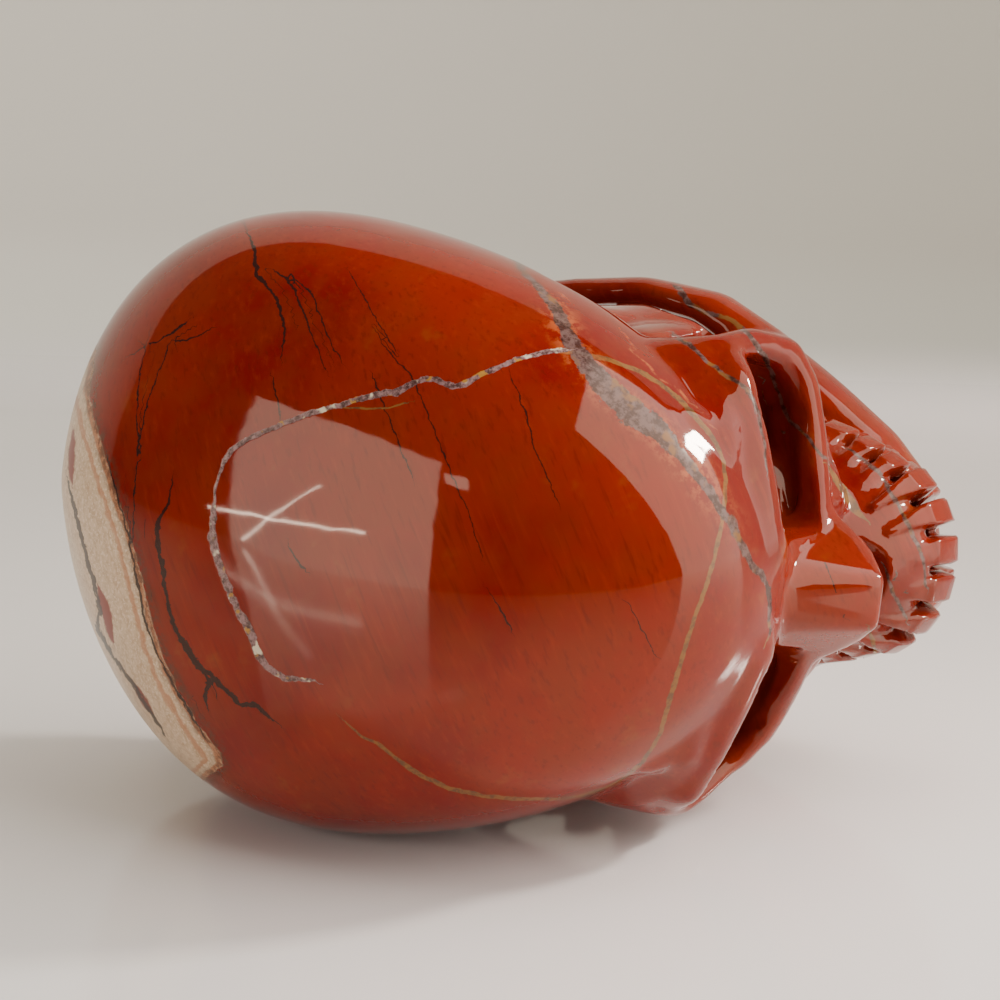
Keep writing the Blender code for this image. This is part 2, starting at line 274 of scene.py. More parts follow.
add_limb([(33.3, -48, -6, 4.2, 5, 5.5), (28, -48.5, -11, 5.5, 5, 6.5), (20, -49.5, -14, 7, 5, 7)])
add_limb([(26, -51.5, -8, 5.5, 4.6, 5), (17, -55, -9, 6, 4.6, 6), (12, -58, -9, 5, 4.6, 6)])
add_limb([(11, -61.5, -2.4, 3, 3, 3.4), (8, -60.5, 8, 2.4, 3.2, 5), (6.5, -60.6, 15, 2.8, 3.2, 4)])
add_limb([(36.2, -48.5, -4, 3.6, 4.0, 5.0), (41.2, -37, -4, 3.0, 4, 5.6), (42.2, -25, -3.6, 2.5, 4, 4.6),
          (40.0, -12, -2.5, 2.4, 4, 3.4), (36, 0, -1, 3.2, 5, 3.8)])


# JAWS
# The upper jaw is a rounded arch over the roots. The lower one runs from the
# chin back to its angle and up behind the cheek, with stone left between them.

SLICE = 0.1


def add_arch(height, half_width, front, back):
    """Half of an oval slice, open to the back of the head."""
    bpy.ops.mesh.primitive_uv_sphere_add(segments=48, ring_count=4, radius=MM,
                                         location=(0, back * MM, height * MM),
                                         scale=(half_width * 1.03, (back - front) * 1.01, SLICE))
    bpy.ops.mesh.bisect(plane_co=(0, back * MM, 0), plane_no=(0, 1, 0), clear_outer=True)


for arch in ((-7, 12.5, -62, -30), (-13, 17.2, -68.2, -30), (-19, 20.2, -71.6, -32),
             (-23, 21.0, -73.0, -32), (-25, 20.2, -72.0, -32)):
    add_arch(*arch)
skin_over()
add_arch(-22, 16.5, -68.5, -22)
add_arch(-40, 15.5, -60.5, -24)
skin_over()
for x, y, z in ((16, -38, -30), (28, -18, -28), (14, -20, -24)):
    add_ball(x, y, z, 3, 4, 6, fineness=1)
    add_ball(-x, y, z, 3, 4, 6, fineness=1)
skin_over()
add_limb([(34.5, 9, -2, 5.5, 9, 8), (32.5, 10, -13, 3.6, 6, 6)])
add_limb([(0, -60.5, -42, 6, 4.8, 6.5), (9, -58.2, -42, 4.5, 4.5, 6.3),
          (15.5, -51.5, -41, 4.2, 4.6, 7), (21.5, -42, -40, 4, 5, 7.3),
          (28.8, -29, -39, 3.6, 6, 8), (34.4, -16, -38, 3.6, 7, 8),
          (33.6, -10, -24, 2.8, 8, 8), (34, -5, -9, 2.8, 5.4, 7)])
add_ball(0, -61, -36, 10, 5, 6)
skin_over()
add_limb([(32.6, -16, -26, 2.4, 7, 8), (33, -20, -10, 2.0, 4.2, 6)])


# NOSE
# The bridge is a flat-topped wedge with sharp sides over a pear-shaped opening.

for x, y, z in ((2.6, -65.2, 15), (3.9, -76.4, -0.5), (6, -62, 15), (7.6, -71.5, -4.5),
                (12.4, -64.2, -5), (12, -56, -6), (6, -54, 14), (2, -52, -3)):
    add_ball(x, y, z, 0.1, 0.1, 0.1, fineness=1)
    add_ball(-x, y, z, 0.1, 0.1, 0.1, fineness=1)
skin_over()
finish_piece(face)
join(skull, face)
grind(skull, ROUGH_STEP, 6)

nose_tool = start_piece("nose_tool")
for x, y, z in ((1.5, -85, -1.5), (5, -85, -5), (8, -85, -10), (7.6, -85, -14.5), (4, -85, -16.5),
                (1, -60, -3), (4.5, -57, -6), (5.5, -57, -12), (3, -57, -14)):
    add_ball(x, y, z, 0.1, 0.1, 0.1, fineness=1)
    add_ball(-x, y, z, 0.1, 0.1, 0.1, fineness=1)
skin_over()
finish_piece(nose_tool, mirrored=False)


# EYE HOLLOWS
# Rounded squares cut in from the front that run back and inwards.

EYE_CORNERS = ((28.8, 12.0), (12.4, 12.8), (13.4, 4.2), (27.4, 1.6))

eye_tool = start_piece("eye_tool")
for x, z in EYE_CORNERS:
    add_ball(x * 1.03, -69, z * 1.02, 4.8, 3, 4.8)
    add_ball(x, -55, z, 4.5, 3, 4.5)
skin_over()
for x, z in EYE_CORNERS:
    add_ball(x, -55, z, 4.5, 3, 4.5)
add_ball(10.5, -38, 8, 5, 4, 5)
skin_over()
finish_piece(eye_tool)
grind(eye_tool, ROUGH_STEP, 2)
carve(skull, eye_tool)
carve(skull, nose_tool)

jaw_tool = start_piece("jaw_tool")
add_limb([(0, -44, -56, 9.5, 9, 14), (0, -34, -56, 16, 12, 20), (0, -12, -54, 23, 16, 21)], fineness=3)
finish_piece(jaw_tool, mirrored=False)
grind(jaw_tool, ROUGH_STEP, 4)
carve(skull, jaw_tool)


# TEETH
# Seven a side above, whose roots show as ridges on the jaw, and seven below.
# They are square pegs parted with a thin saw and polished with the rest.

ROW_HALF_WIDTH = 20.4
ROW_FRONT = -72.0
ROW_BACK = -36.0
ROW_SQUARENESS = 0.86
TOOTH_HALF_WIDTHS = (3.0, 2.75, 2.75, 2.5, 2.5, 3.2, 3.0)
GUM_LINE = -24.0
FRONT_SAW_CUT = 1.25
SIDE_SAW_CUT = 0.9

quarter = np.linspace(0.0001, math.pi / 2 - 0.0001, 600)
row_x = ROW_HALF_WIDTH * np.sin(quarter) ** ROW_SQUARENESS
row_y = ROW_BACK - (ROW_BACK - ROW_FRONT) * np.cos(quarter) ** ROW_SQUARENESS
row_run = np.concatenate([[0], np.cumsum(np.hypot(np.diff(row_x), np.diff(row_y)))])


def add_tooth(run, shapes):
    """A square peg on the row, each slice (height, half width, outer face, inner face)."""
    x, y = np.interp(run, row_run, row_x), np.interp(run, row_run, row_y)
    step_x = np.interp(run + 0.6, row_run, row_x) - np.interp(run - 0.6, row_run, row_x)
    step_y = np.interp(run + 0.6, row_run, row_y) - np.interp(run - 0.6, row_run, row_y)
    turn = math.atan2(step_y, step_x)
    for height, width, outer, inner in shapes:
        lean = (outer + inner) / 2
        spot = (x + math.sin(turn) * lean, y - math.cos(turn) * lean, height)
        bpy.ops.mesh.primitive_cube_add(size=2 * MM, rotation=(0, 0, turn),
                                        location=[part * MM for part in spot],
                                        scale=(width, (outer - inner) / 2, SLICE))
    skin_over()


teeth = start_piece("teeth")
run = 0.0
for number, half in enumerate(TOOTH_HALF_WIDTHS):
    run += half
    front = number < 3
    wide = half - (FRONT_SAW_CUT if number < 4 else SIDE_SAW_CUT) / 2
    tip = -31.5 + 0.3 * number
    bulge = 2.6 if front else 1.5
    add_tooth(run, ((-16, wide * 0.25, bulge - 4.8, -4), (-20, wide * 0.5, bulge - 2.1, -2),
                    (GUM_LINE, wide * 0.85, bulge - 0.7, -2)))
    add_tooth(run, ((GUM_LINE, wide * 0.9, bulge - 0.4, -2.4), (-28.5, wide, bulge, -1.6),
                    (tip + 0.7, wide * 0.96, bulge - 0.2, -0.6), (tip, wide * 0.84, bulge - 0.6, 0)))
    add_tooth(run, ((-30.6, wide * 0.86, -1.0, -3.6), (-33, wide * 0.84, -0.4, -4.2),
                    (-38, wide * 0.66, -1.0, -5)))
    run += half + 0.1
finish_piece(teeth)
join(skull, teeth)


# FINE GRINDING
# The face is worked more finely than the brain case: before the last skin is
# made the stone is swelled round the face, and it is let back down afterwards.

FACE_MIDDLE = np.array((0.0, -60.0, -14.0)) * MM
FACE_SWELL = 1.3
FACE_REACH = 42.0
FINE_STEP = 1.05
FACE_EDGE = 62.0
FACETS_KEPT = 0.46
JAW_SHIFT = 2.6
RIGHT_CHEEK_SHIFT = 4.0
RIGHT_ARCH_SHIFT = 2.1

swell_from = np.linspace(0, 0.2, 2001)
swell_to = swell_from + FACE_SWELL * FACE_REACH * MM * np.tanh(swell_from / (FACE_REACH * MM))


def mesh_points(piece):
    points = np.empty(len(piece.data.vertices) * 3)
    piece.data.vertices.foreach_get("co", points)
    return points.reshape(-1, 3)


def put_points(piece, points):
    piece.data.vertices.foreach_set("co", points.ravel())
    piece.data.update()


def swell(piece, before, after):
    points = mesh_points(piece) - FACE_MIDDLE
    reach = np.linalg.norm(points, axis=1)
    put_points(piece, FACE_MIDDLE + points * (np.interp(reach, before, after) / reach)[:, None])


swell(skull, swell_from, swell_to)
grind(skull, FINE_STEP, 3)
swell(skull, swell_to, swell_from)

# Only the face's flatter parts give up facets; the brain case keeps its own.
face_reach = np.linalg.norm(mesh_points(skull) - FACE_MIDDLE, axis=1) / MM
face_group = skull.vertex_groups.new(name="face")
face_group.add(np.flatnonzero(face_reach < FACE_EDGE).tolist(), 1.0, "REPLACE")
work(skull, "DECIMATE", ratio=FACETS_KEPT, vertex_group="face")
skull.vertex_groups.clear()


def ease(start, stop, value):
    part = np.clip((value / MM - start) / (stop - start), 0, 1)
    return part * part * (3 - 2 * part)


# The jaws, the right cheek and its arch are carved a little off to the left.
points = mesh_points(skull)
jaws = ease(-4, -26, points[:, 2]) * ease(-10, -40, points[:, 1])
cheek = (ease(-12, -32, points[:, 0]) * ease(12, -6, points[:, 2]) * ease(-24, -46, points[:, 1])
         * (1 - jaws))
arch = (ease(-26, -38, points[:, 0]) * ease(8, -2, points[:, 2]) * ease(-30, -16, points[:, 2])
        * ease(2, -10, points[:, 1]))
points[:, 0] += (JAW_SHIFT * jaws + RIGHT_CHEEK_SHIFT * cheek + RIGHT_ARCH_SHIFT * arch) * MM
put_points(skull, points)

# Laid on its right side where the frame's solid lies, and kept inside its box.
skull.data.transform(to_rest @ Matrix.Scale(1 / MM, 4))
points = mesh_points(skull)
node_low, node_high = [np.array(corner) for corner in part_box("skull")]
low, high = points.min(axis=0), points.max(axis=0)
fit = min(1.0, ((node_high - node_low - 0.00004) / (high - low)).min())
points *= fit
shift = (node_low + node_high - (points.min(axis=0) + points.max(axis=0))) / 2
shift[2] = node_low[2] + 0.00002 - points[:, 2].min()
points += shift
put_points(skull, points)
bpy.ops.object.select_all(action="DESELECT")
skull.select_set(True)
bpy.context.view_layer.objects.active = skull
bpy.ops.object.shade_smooth()
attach(skull, "root")
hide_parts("skull")


# VEINS AND CRACKS
# Old cracks in the jasper that quartz, iron and clay have filled, each a thin
# sheet through the stone. A line gives it as the camera sees it, in pixels with
# its half width. Black cracks and red inclusions end just behind the outline.

QUARTZ_VEIN = (
    ((566, 350, 2), (545, 352, 2.3), (525, 357, 2.4), (500, 366, 2.4), (480, 376, 2.7),
     (463, 385, 2.9), (452, 387, 3), (438, 380, 3), (422, 379, 2.7), (408, 386, 3.3), (397, 392, 3.8),
     (380, 393, 3.5), (365, 398, 3), (340, 405, 2.7), (312, 413, 2.6), (290, 421, 2.6),
     (265, 431, 2.4), (245, 440, 2.4), (232, 450, 2.6), (224, 462, 2.3), (220, 473, 1.2),
     (215, 490, 0.8), (214, 503, 1.2), (213, 520, 3.5), (212, 536, 4), (218, 560, 3.5),
     (226, 582, 3.8), (237, 608, 3.3), (250, 630, 4.1), (256, 650, 4), (266, 667, 3.5), (285, 678, 3),
     (303, 679, 2.3), (313, 681, 1.5)),
)
KHAKI_VEINS = (
    ((552, 351, 1.6), (580, 353, 2), (610, 360, 2), (640, 371, 2), (665, 387, 2), (685, 405, 2.8),
     (700, 422, 2.6), (715, 440, 2), (724, 462, 2), (726, 490, 2), (722, 520, 2), (715, 555, 2),
     (705, 590, 2), (692, 625, 2), (680, 665, 2.4), (672, 692, 2.6), (660, 735, 2), (645, 760, 1.8),
     (620, 782, 1.6), (590, 794, 1.6), (560, 799, 1.6), (520, 799, 1.8), (485, 796, 1.8),
     (450, 789, 2.2), (420, 775, 2.2), (400, 761, 2.2), (380, 745, 1.8), (360, 736, 1.2),
     (343, 720, 0.6)),
    ((340, 407, 0.8), (365, 409, 1), (388, 408, 1), (405, 403, 0.8)),
    ((828, 466, 1), (838, 482, 3.4), (848, 498, 4.4), (856, 510, 4), (866, 520, 1)),
    ((870, 634, 1.6), (873, 642, 2.4), (876, 656, 1.6)),
)
GREY_VEINS = (
    ((500, 240, 1), (515, 260, 2.4), (530, 279, 3), (545, 295, 4), (556, 308, 5.4), (563, 325, 6.4),
     (571, 344, 7.4), (588, 367, 9.5), (607, 389, 12), (630, 410, 14), (650, 424, 13), (667, 440, 9.5),
     (682, 458, 6), (700, 477, 5.4), (715, 500, 4.6), (730, 520, 4), (741, 545, 3.6), (754, 567, 3.4),
     (768, 583, 3), (771, 610, 2), (768, 640, 1.4)),
    ((672, 334, 1.2), (690, 345, 1.8), (705, 360, 2), (725, 375, 2), (748, 389, 2), (757, 410, 1.6),
     (764, 440, 1.4), (768, 470, 1.2)),
    ((670, 270, 2), (676, 284, 3), (682, 297, 3.6), (693, 308, 3), (712, 314, 2), (732, 320, 2.4),
     (748, 334, 3), (758, 347, 3.2), (768, 362, 2.6), (776, 388, 2), (788, 420, 1.8), (808, 438, 1.8),
     (824, 458, 2)),
    ((852, 452, 1.6), (880, 472, 2), (895, 500, 2.2), (910, 530, 2.2), (922, 555, 2), (926, 585, 1.6)),
    ((884, 568, 1.2), (892, 590, 2), (905, 617, 1.6)),
)
BLACK_CRACKS = (
    ((244, 222, 0.7), (254, 248, 1.2), (257, 274, 2.2), (266, 286, 1.4), (275, 297, 1.2),
     (282, 315, 1.5), (285, 335, 1.0), (282, 356, 0.5)),
    ((276, 272, 0.7), (288, 278, 1.6), (296, 294, 1.2), (310, 330, 0.7), (325, 368, 0.6)),
    ((290, 275, 0.7), (310, 291, 0.7), (324, 325, 0.7), (332, 345, 0.6), (342, 362, 0.4)),
    ((130, 356, 0.4), (147, 345, 0.7), (170, 335, 0.7), (185, 323, 1.0)),
    ((177, 342, 0.8), (195, 337, 1.0), (208, 331, 0.7)),
    ((375, 330, 0.4), (390, 355, 0.6), (410, 372, 0.7), (425, 405, 0.7), (440, 445, 0.7),
     (455, 480, 0.7), (468, 512, 0.5), (482, 555, 0.4)),
    ((374, 380, 0.9), (384, 405, 0.7), (398, 442, 0.7), (412, 477, 0.5)),
    ((510, 372, 0.3), (525, 410, 0.7), (535, 450, 0.7), (548, 478, 0.7), (558, 502, 0.4)),
    ((350, 272, 0.3), (366, 300, 0.5), (380, 325, 0.6), (396, 352, 0.4)),
    ((272, 380, 0.7), (278, 405, 0.7), (281, 422, 0.4)),
    ((488, 590, 0.3), (500, 608, 0.7), (511, 628, 0.7)),
    ((290, 547, 0.6), (296, 560, 1.2), (304, 568, 0.7)),
    ((172, 480, 0.7), (168, 503, 1.1), (158, 523, 2.9), (157, 541, 2.3), (163, 567, 2.7),
     (165, 593, 1.8), (172, 620, 1.9), (183, 643, 3.1), (199, 666, 3.4), (210, 681, 3),
     (204, 696, 1.8), (208, 708, 0.7)),
    ((199, 666, 2.7), (213, 678, 2.7), (224, 688, 2), (240, 704, 2.4), (257, 705, 2.6),
     (268, 717, 1.1), (278, 724, 0.7)),
    ((170, 343, 0.4), (148, 400, 0.7), (137, 450, 0.7), (134, 505, 0.7), (133, 545, 0.6)),
    ((150, 330, 0.3), (140, 370, 0.5), (137, 420, 0.6), (140, 455, 0.5)),
    ((68, 480, 1.1), (77, 520, 1.6), (87, 560, 1.8), (96, 590, 2), (100, 612, 1.6), (97, 628, 2.3),
     (114, 658, 1.6), (134, 686, 1.8), (150, 712, 1.4), (165, 735, 0.7)),
    ((107, 455, 0.5), (121, 510, 0.7), (131, 548, 1.2), (137, 580, 1.4), (146, 625, 1.2),
     (160, 660, 1.2), (176, 690, 1.4), (192, 716, 1), (205, 738, 0.7)),
    ((824, 563, 0.4), (836, 590, 0.7), (845, 613, 0.6)),
    ((628, 600, 0.3), (640, 625, 0.7), (655, 655, 0.4)),
)
RED_INCLUSIONS = (
    ((98, 586, 1), (102, 598, 4.6), (107, 615, 5), (110, 632, 3.4), (113, 642, 1)),
    ((134, 684, 1), (140, 694, 3.4), (147, 706, 3), (153, 714, 1)),
    ((73, 430, 1), (72, 452, 3.4), (71, 470, 3), (72, 484, 1)),
)
CREAM_EDGE = ((96, 350), (89, 393), (95, 423), (106, 460), (121, 507), (131, 537), (139, 567),
               (149, 607), (159, 645), (173, 680), (190, 710), (203, 730), (219, 752), (222, 765),
               (205, 780), (180, 800))

HEAD_OUTLINE = 634.0
CRACKS_DEEPER = 9.0

view = np.array([list(axis) for axis in view_axes])
seen = (points - np.array(camera_spot)) @ view.T
drawn_x = PHOTO_SIDE / 2 - LENS_PIXELS * seen[:, 0] / seen[:, 2]
drawn_y = PHOTO_SIDE / 2 + LENS_PIXELS * seen[:, 1] / seen[:, 2]
pixel_size = -seen[:, 2] / LENS_PIXELS / MM
peters_out = np.clip((HEAD_OUTLINE + CRACKS_DEEPER + seen[:, 2] / MM) / CRACKS_DEEPER, 0, 1)


def nearest(route):
    """How far each point is off a drawn line, to its left or right, and how wide the line is there."""
    side = np.full(len(points), 1e6)
    reach = np.full(len(points), 1e6)
    width = np.zeros(len(points))
    for (x1, y1, half1), (x2, y2, half2) in zip(route, route[1:]):
        step_x, step_y = x2 - x1, y2 - y1
        length = math.hypot(step_x, step_y)
        along = ((drawn_x - x1) * step_x + (drawn_y - y1) * step_y) / length ** 2
        along = np.clip(along, 0, 1)
        across = ((drawn_x - x1) * step_y - (drawn_y - y1) * step_x) / length
        away = np.hypot(drawn_x - x1 - along * step_x, drawn_y - y1 - along * step_y)
        closer = away < reach
        reach[closer] = away[closer]
        side[closer] = (np.sign(across) * away)[closer]
        width[closer] = (half1 + (half2 - half1) * along)[closer]
    return side * pixel_size, reach * pixel_size, width * pixel_size


def add_lines(name, routes, thinning=1.0):
    """Stores, in millimetres: the signed distance, the plain distance and the half width."""
    best = np.full((len(points), 3), 1e6)
    for route in routes:
        found = np.stack(nearest(route), axis=1)
        closer = found[:, 1] < best[:, 1]
        best[closer] = found[closer]
    best[:, :2] = np.clip(best[:, :2], -60, 60)
    best[:, 2] *= thinning
    layer = skull.data.attributes.new(name, "FLOAT_VECTOR", "POINT")
    layer.data.foreach_set("vector", best.ravel())


add_lines("quartz_vein", QUARTZ_VEIN)
add_lines("khaki_vein", KHAKI_VEINS)
add_lines("grey_vein", GREY_VEINS)
add_lines("black_crack", BLACK_CRACKS, peters_out)
add_lines("red_inclusion", RED_INCLUSIONS, peters_out)
add_lines("cream_edge", [[(x, y, 0) for x, y in CREAM_EDGE]])


# RED JASPER
# Opaque fine-grained quartz coloured by iron, brick to deep red, with streaks
# of grain one way, a cream patch at the crown, and a high polish all over.

DEEP_RED = (0.158, 0.0024, 0.0003, 1.0)
BRICK_RED = (0.205, 0.0100, 0.0010, 1.0)
RUST_BROWN = (0.170, 0.0190, 0.0022, 1.0)
CREAM = (0.62, 0.44, 0.28, 1.0)
GRAIN_RED = (0.27, 0.022, 0.003, 1.0)
GRAIN_DARK = (0.10, 0.006, 0.002, 1.0)
OCHRE = (0.22, 0.042, 0.006, 1.0)
CREAM_SHADE = (0.47, 0.30, 0.17, 1.0)
CREAM_LIGHT = (0.70, 0.53, 0.37, 1.0)
STRIPE_RUST = (0.40, 0.13, 0.045, 1.0)
RIM_BROWN = (0.085, 0.026, 0.012, 1.0)
INCLUSION_RED = (0.20, 0.018, 0.008, 1.0)
CRACK_BLACK = (0.018, 0.007, 0.006, 1.0)
KHAKI = (0.20, 0.088, 0.022, 1.0)
KHAKI_DARK = (0.095, 0.050, 0.022, 1.0)
HALO_ORANGE = (0.50, 0.12, 0.03, 1.0)
GREY_DARK = (0.030, 0.014, 0.011, 1.0)
GREY_LIGHT = (0.125, 0.076, 0.068, 1.0)
GREY_RUST = (0.19, 0.080, 0.020, 1.0)
QUARTZ_DARK = (0.060, 0.026, 0.024, 1.0)
QUARTZ_PALE = (0.26, 0.145, 0.140, 1.0)
QUARTZ_WHITE = (0.62, 0.52, 0.36, 1.0)
QUARTZ_AMBER = (0.36, 0.17, 0.03, 1.0)
VEIN_SLACK = 1.4
GRAIN_SLANT = math.radians(-68)

stone = bpy.data.materials.new("red_jasper")
stone.use_nodes = True
nodes = stone.node_tree.nodes
links = stone.node_tree.links
shader = nodes["Principled BSDF"]


def put(node, name, value):
    if isinstance(value, bpy.types.NodeSocket):
        links.new(value, node.inputs[name])
    else:
        node.inputs[name].default_value = value


def sum_of(operation, first, second=0.0):
    node = nodes.new("ShaderNodeMath")
    node.operation = operation
    put(node, 0, first)
    put(node, 1, second)
    return node.outputs[0]


def paint(amount, under, over):
    node = nodes.new("ShaderNodeMix")
    node.data_type = "RGBA"
    put(node, "Factor", amount)
    put(node, 6, under)
    put(node, 7, over)
    return node.outputs[2]


def between(value, low, high):
    """0 below low and 1 above high, smoothly."""
    node = nodes.new("ShaderNodeMapRange")
    node.interpolation_type = "SMOOTHSTEP"
    put(node, "Value", value)
    put(node, "From Min", low)
    put(node, "From Max", high)
    return node.outputs[0]


where = nodes.new("ShaderNodeTexCoord").outputs["Object"]
grain_way = camera_right * math.cos(GRAIN_SLANT) + camera_up * math.sin(GRAIN_SLANT)
grain_way = (turn_to_rest @ grain_way).normalized()
turned = nodes.new("ShaderNodeMapping")
turned.vector_type = "TEXTURE"
turned.inputs["Rotation"].default_value = grain_way.to_track_quat("Z", "Y").to_euler()
turned.inputs["Scale"].default_value = (1.0, 1.0, 14.0)
links.new(where, turned.inputs["Vector"])
streaked = turned.outputs[0]


def cloud(size, detail=4.0, roughness=0.55, place=None):
    """Soft noise whose blots are about this many millimetres across."""
    node = nodes.new("ShaderNodeTexNoise")
    node.inputs["Scale"].default_value = 1000.0 / size
    node.inputs["Detail"].default_value = detail
    node.inputs["Roughness"].default_value = roughness
    links.new(place or where, node.inputs["Vector"])
    return node.outputs[0]


def line(name, wobble, size, ragged, soft):
    """How much of a vein covers the stone here, how far off its middle is, and its half width."""
    split = nodes.new("ShaderNodeSeparateXYZ")
    layer = nodes.new("ShaderNodeAttribute")
    layer.attribute_name = name
    links.new(layer.outputs["Vector"], split.inputs[0])
    bend = sum_of("MULTIPLY", sum_of("SUBTRACT", cloud(size, 3.0), 0.5), wobble * 2)
    side = sum_of("ADD", split.outputs[0], bend)
    off = sum_of("MAXIMUM", sum_of("ABSOLUTE", side), sum_of("SUBTRACT", split.outputs[1], VEIN_SLACK))
    swing = sum_of("ADD", sum_of("MULTIPLY", cloud(size * 0.6, 3.0, 0.7), ragged * 2), 1 - ragged)
    inside = sum_of("SUBTRACT", sum_of("MULTIPLY", split.outputs[2], swing), off)
    return between(inside, -soft, soft), side, split.outputs[2]


# the red body: broad clouds, then the grain
broad = between(cloud(26.0, 3.0), 0.40, 0.62)
small = between(cloud(9.0, 4.0, 0.6), 0.38, 0.66)
colour = paint(broad, DEEP_RED, BRICK_RED)
colour = paint(sum_of("MULTIPLY", small, 0.45), colour, RUST_BROWN)
grain = cloud(1.1, 3.0, 0.6, streaked)
colour = paint(between(grain, 0.50, 0.78), colour, paint(0.35, colour, GRAIN_RED))
dark_grain = between(cloud(0.8, 2.0, 0.6, streaked), 0.54, 0.72)
colour = paint(sum_of("MULTIPLY", dark_grain, 0.45), colour, GRAIN_DARK)
ochre = sum_of("MULTIPLY", between(cloud(13.0, 4.0, 0.65), 0.60, 0.72), 0.5)
colour = paint(ochre, colour, OCHRE)

# cream patch with its stripes
edge = nodes.new("ShaderNodeAttribute")
edge.attribute_name = "cream_edge"
edge_parts = nodes.new("ShaderNodeSeparateXYZ")
links.new(edge.outputs["Vector"], edge_parts.inputs[0])
ripple = sum_of("MULTIPLY", sum_of("SUBTRACT", cloud(2.6, 5.0, 0.65), 0.5), 1.6)
into = sum_of("SUBTRACT", ripple, edge_parts.outputs[0])
cream_part = between(into, -0.12, 0.12)
cream = paint(between(cloud(1.2, 3.0, 0.7), 0.35, 0.70), CREAM, CREAM_SHADE)
cream = paint(between(cloud(0.5, 2.0, 0.7), 0.52, 0.64), cream, CREAM_LIGHT)
stripe = sum_of("SINE", sum_of("MULTIPLY", into, 3.6))
stripe = sum_of("MULTIPLY", between(stripe, -0.1, 0.7), between(into, 4.4, 1.2))
cream = paint(sum_of("MULTIPLY", stripe, 0.8), cream, STRIPE_RUST)
colour = paint(cream_part, colour, cream)
rim = between(sum_of("ABSOLUTE", into), 1.9, 0.2)
rim = sum_of("MULTIPLY", rim, between(cloud(1.3, 4.0, 0.75), 0.40, 0.58))
colour = paint(sum_of("MULTIPLY", rim, 0.85), colour, RIM_BROWN)

included, _, _ = line("red_inclusion", 0.3, 2.0, 0.4, 0.15)
colour = paint(included, colour, INCLUSION_RED)

cracks, _, _ = line("black_crack", 0.55, 1.7, 0.95, 0.05)
colour = paint(sum_of("MULTIPLY", cracks, 0.93), colour, CRACK_BLACK)

khaki, _, _ = line("khaki_vein", 0.25, 2.4, 0.7, 0.06)
khaki_colour = paint(between(cloud(2.2, 3.0, 0.7), 0.42, 0.60), KHAKI, KHAKI_DARK)
colour = paint(sum_of("MULTIPLY", khaki, 0.9), colour, khaki_colour)

grey, grey_side, grey_width = line("grey_vein", 0.60, 2.8, 0.75, 0.14)
halo = between(sum_of("ABSOLUTE", grey_side), 3.6, 0.6)
halo = sum_of("MULTIPLY", halo, between(cloud(2.0, 4.0, 0.7), 0.44, 0.62))
halo = sum_of("MULTIPLY", halo, between(grey_width, 0.45, 0.8))
colour = paint(sum_of("MULTIPLY", halo, 0.55), colour, HALO_ORANGE)
grey_colour = paint(between(cloud(1.6, 4.0, 0.7), 0.40, 0.62), GREY_DARK, GREY_LIGHT)
grey_colour = paint(between(cloud(5.0, 3.0, 0.6), 0.54, 0.64), grey_colour, GREY_RUST)
colour = paint(sum_of("MULTIPLY", grey, 0.92), colour, grey_colour)

quartz, _, _ = line("quartz_vein", 0.40, 2.2, 0.75, 0.07)
quartz_colour = paint(between(cloud(1.0, 4.0, 0.75), 0.36, 0.62), QUARTZ_DARK, QUARTZ_PALE)
quartz_colour = paint(between(cloud(3.0, 2.0, 0.6), 0.58, 0.64), quartz_colour, QUARTZ_WHITE)
quartz_colour = paint(between(cloud(2.2, 2.0, 0.6), 0.60, 0.66), quartz_colour, QUARTZ_AMBER)
colour = paint(quartz, colour, quartz_colour)
put(shader, "Base Color", colour)

# the polish: mirror smooth, a little duller on the veins and the cream
dull = sum_of("MAXIMUM", sum_of("MULTIPLY", cream_part, 0.24), sum_of("MULTIPLY", quartz, 0.16))
dull = sum_of("MAXIMUM", dull, sum_of("MULTIPLY", grey, 0.10))
rub = sum_of("MULTIPLY", between(cloud(0.35, 2.0, 0.6, streaked), 0.50, 0.85), 0.035)
put(shader, "Roughness", sum_of("ADD", sum_of("ADD", dull, rub), 0.045))
shader.inputs["IOR"].default_value = 1.54
shader.inputs["Specular IOR Level"].default_value = 0.40
shader.inputs["Specular Tint"].default_value = (1.0, 0.80, 0.64, 1.0)
height = sum_of("MULTIPLY", quartz, sum_of("SUBTRACT", cloud(0.7, 3.0, 0.7), 0.7))
relief = nodes.new("ShaderNodeBump")
relief.inputs["Distance"].default_value = 0.00012
relief.inputs["Strength"].default_value = 1.0
links.new(height, relief.inputs["Height"])
links.new(relief.outputs[0], shader.inputs["Normal"])
skull.data.materials.clear()
skull.data.materials.append(stone)


# TABLE AND WALL
# A pale laminate desk that the skull lies on, with a plain painted wall a hand's breadth behind it,
# drawn as one sheet with a rounded fold. Light and shade are painted into both: the desk is darker
# on the left (painted shadow of the skull) and lighter and pinker on the right (painted light), and
# the wall is lighter on the left and darker on the right (painted shade).

WALL_BEHIND = 0.262
WALL_ASKEW = math.radians(6.7)
TABLE_WIDTH = 3.0
TABLE_DEPTH = 1.15
WALL_HEIGHT = 0.42
FOLD_RADIUS = 0.035

